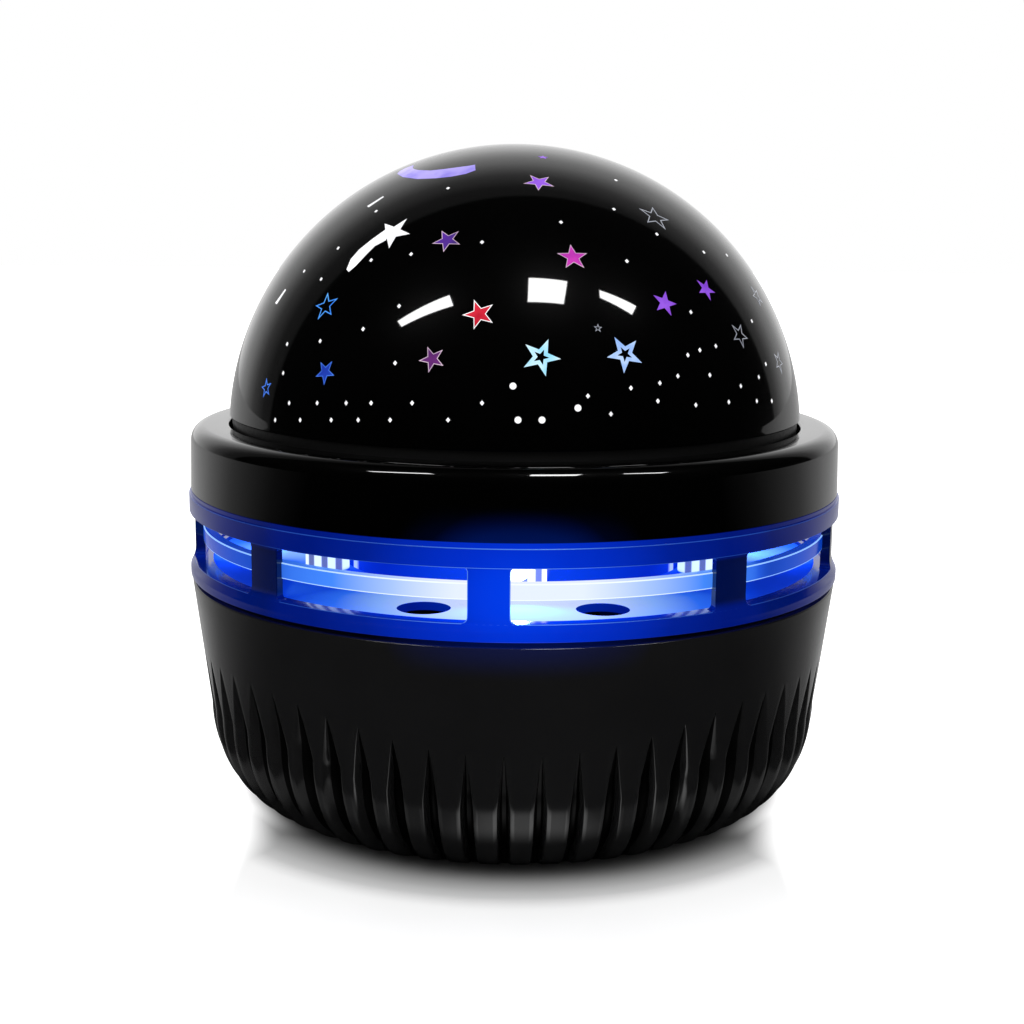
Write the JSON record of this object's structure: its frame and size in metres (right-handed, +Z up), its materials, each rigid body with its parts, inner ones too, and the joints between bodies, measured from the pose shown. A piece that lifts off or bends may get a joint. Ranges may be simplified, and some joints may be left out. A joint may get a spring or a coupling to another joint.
{
  "type": "star night light projector",
  "caption": "Dome-topped tabletop night light that throws stars: a turning black dome on a rim, a lit blue window band and a fluted black bowl, with batteries below.",
  "frame": {"origin": "middle of the circle that the feet stand on, at floor level", "axes": "+Z up along the dome's axis, -Y to the front, +Y to the buttons and the charging socket"},
  "size_m": [0.13, 0.13, 0.1294],
  "materials": {
    "shell_black": "fine matt texture",
    "gloss_black": "polished",
    "table_black": "satin",
    "band_blue": "translucent, lit from inside",
    "white_plastic": "satin",
    "gear_white": "satin",
    "washer_white": "smooth",
    "rubber_black": "matt",
    "cell_skin": "foil sleeve",
    "spring_steel": "bright",
    "screw_steel": "zinc plated",
    "motor_steel": "plated",
    "board_green": "solder mask",
    "board_white": "solder mask",
    "switch_black": "moulded",
    "button_gloss": "polished",
    "led_red_lens": "clear epoxy",
    "led_green_lens": "clear epoxy",
    "led_blue_lens": "clear epoxy",
    "led_white_lens": "clear epoxy",
    "lead_grey": "sleeved wires",
    "lead_red": "sleeved wires"
  },
  "bodies": {
    "body": {"base_bowl": "shell_black", "bottom_cover": "shell_black", "foot_1": "rubber_black", "foot_2": "rubber_black", "foot_3": "rubber_black", "foot_4": "rubber_black", "cell_1": "cell_skin", "cell_2": "cell_skin", "cell_3": "cell_skin", "cell_4": "cell_skin", "contact_plates": "spring_steel", "contact_springs": "spring_steel", "cover_screws": "screw_steel", "main_board": "board_green", "board_screws": "screw_steel", "button_board": "board_green", "tact_switches": "switch_black", "panel_screws": "screw_steel", "usb_socket": "motor_steel", "deck": "white_plastic", "case_screws": "screw_steel", "light_band": "band_blue", "upper_rim": "gloss_black", "motor_housing": "white_plastic", "housing_screws": "screw_steel", "motor": "motor_steel", "motor_screws": "screw_steel", "reduction_pin": "motor_steel", "thrust_washer": "washer_white", "retaining_ring": "spring_steel", "led_board": "board_white", "lamp_screws": "screw_steel", "led_red": "led_red_lens", "led_green": "led_green_lens", "led_blue": "led_blue_lens", "led_white": "led_white_lens", "side_board_1": "board_white", "side_board_2": "board_white", "side_board_3": "board_white", "side_board_4": "board_white", "side_led_1": "led_blue_lens", "side_led_2": "led_blue_lens", "side_led_3": "led_blue_lens", "side_led_4": "led_blue_lens", "led_lead": "lead_grey", "motor_lead": "lead_red", "panel_ribbon": "lead_grey"},
    "turntable": {"turntable": "table_black", "turntable_gear": "gear_white"},
    "dome": {"star_dome": "gloss_black"},
    "reduction": {"reduction_gear": "gear_white"},
    "motor_rotor": {"motor_shaft": "motor_steel", "motor_pinion": "gear_white"},
    "door": {"battery_door": "shell_black"},
    "light_button": {"button_light": "button_gloss"},
    "colour_button": {"button_colour": "button_gloss"},
    "turn_button": {"button_turn": "button_gloss"},
    "timer_button": {"button_timer": "button_gloss"}
  },
  "joints": [
    {"name": "turntable_spin", "type": "hinge", "parent": "body", "child": "turntable", "pos_m": [0, 0, 0.07], "axis": [0, 0, 1], "continuous": true},
    {"name": "reduction_spin", "type": "hinge", "parent": "body", "child": "reduction", "pos_m": [0.0206, 0.01022, 0.065], "axis": [0, 0, 1], "continuous": true},
    {"name": "motor_spin", "type": "hinge", "parent": "body", "child": "motor_rotor", "pos_m": [0.023, 0, 0.062], "axis": [0, 0, 1], "continuous": true},
    {"name": "dome_lift", "type": "slide", "parent": "turntable", "child": "dome", "axis": [0, 0, 1], "range_m": [0, 0.06]},
    {"name": "light_press", "type": "slide", "parent": "body", "child": "light_button", "axis": [0, -1, 0], "range_m": [0, 0.0005], "stiffness_N_per_m": 1500, "springref_m": -0.0001},
    {"name": "colour_press", "type": "slide", "parent": "body", "child": "colour_button", "axis": [0, -1, 0], "range_m": [0, 0.0005], "stiffness_N_per_m": 1500, "springref_m": -0.0001},
    {"name": "turn_press", "type": "slide", "parent": "body", "child": "turn_button", "axis": [0, -1, 0], "range_m": [0, 0.0005], "stiffness_N_per_m": 1500, "springref_m": -0.0001},
    {"name": "timer_press", "type": "slide", "parent": "body", "child": "timer_button", "axis": [0, -1, 0], "range_m": [0, 0.0005], "stiffness_N_per_m": 1500, "springref_m": -0.0001},
    {"name": "battery_door_release", "type": "slide", "parent": "body", "child": "door", "axis": [0, 0, -1], "range_m": [0, 0.03]}
  ],
  "couplings": [
    {"joint": "reduction_spin", "follows": "turntable_spin", "ratio": -2.8333},
    {"joint": "motor_spin", "follows": "turntable_spin", "ratio": 7.0833}
  ]
}
